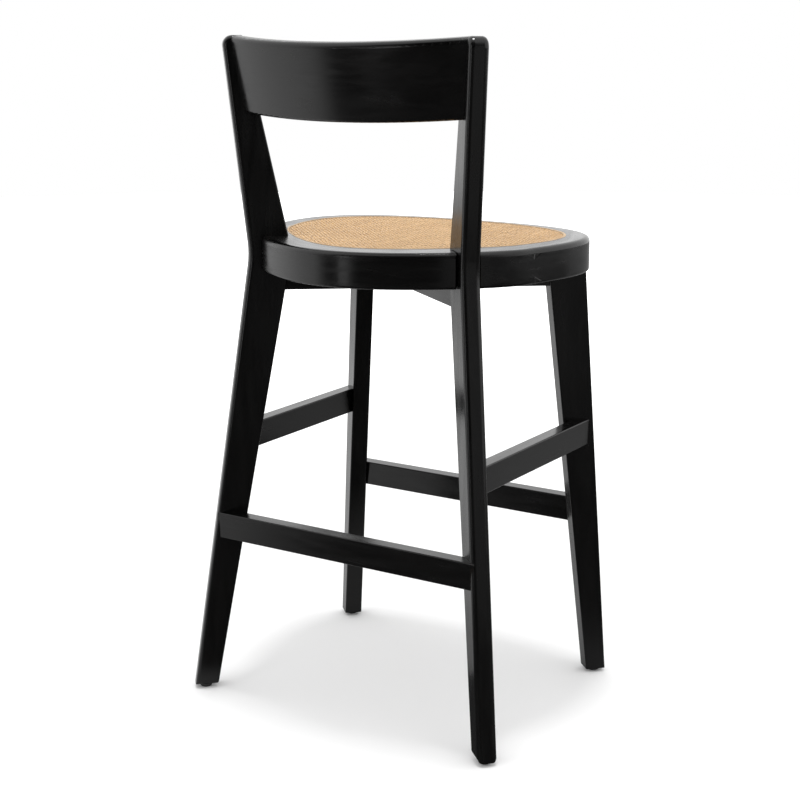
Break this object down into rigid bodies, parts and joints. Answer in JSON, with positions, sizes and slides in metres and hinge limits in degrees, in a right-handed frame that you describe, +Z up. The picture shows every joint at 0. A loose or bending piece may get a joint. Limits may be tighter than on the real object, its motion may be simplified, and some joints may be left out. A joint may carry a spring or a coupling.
{
  "type": "bar stool with footrest",
  "caption": "Wooden bar stool: splayed plank legs, rounded seat ring with a woven cane panel, low curved back rail and a stretcher footrest.",
  "frame": {"origin": "on the floor, under the middle of the stool's overall box", "axes": "+Z up, the stool faces -Y, +X is the sitter's left"},
  "size_m": [0.5712, 0.451, 1.058],
  "materials": {
    "black_wood": "satin black lacquer over solid beech",
    "cane": "woven natural cane, clear satin",
    "spline": "satin reed",
    "dowel": "raw beech",
    "steel": "zinc plated",
    "glide": "matt nylon"
  },
  "bodies": {
    "root": {"rear_leg_left": "black_wood", "rear_leg_right": "black_wood", "front_leg_left": "black_wood", "front_leg_right": "black_wood", "crest_rail": "black_wood", "seat_ring": "black_wood", "rear_stretcher": "black_wood", "front_stretcher_footrest": "black_wood", "side_stretcher_left": "black_wood", "side_stretcher_right": "black_wood", "cross_rail_left": "black_wood", "cross_rail_right": "black_wood", "cane_panel": "cane", "cane_spline": "spline", "rear_stretcher_dowels": "dowel", "footrest_dowels": "dowel", "side_stretcher_dowels": "dowel", "cross_rail_dowels": "dowel", "front_leg_dowels": "dowel", "crest_rail_dowels": "dowel", "ring_screws": "steel", "glide_pins": "steel", "floor_glides": "glide"}
  },
  "joints": []
}
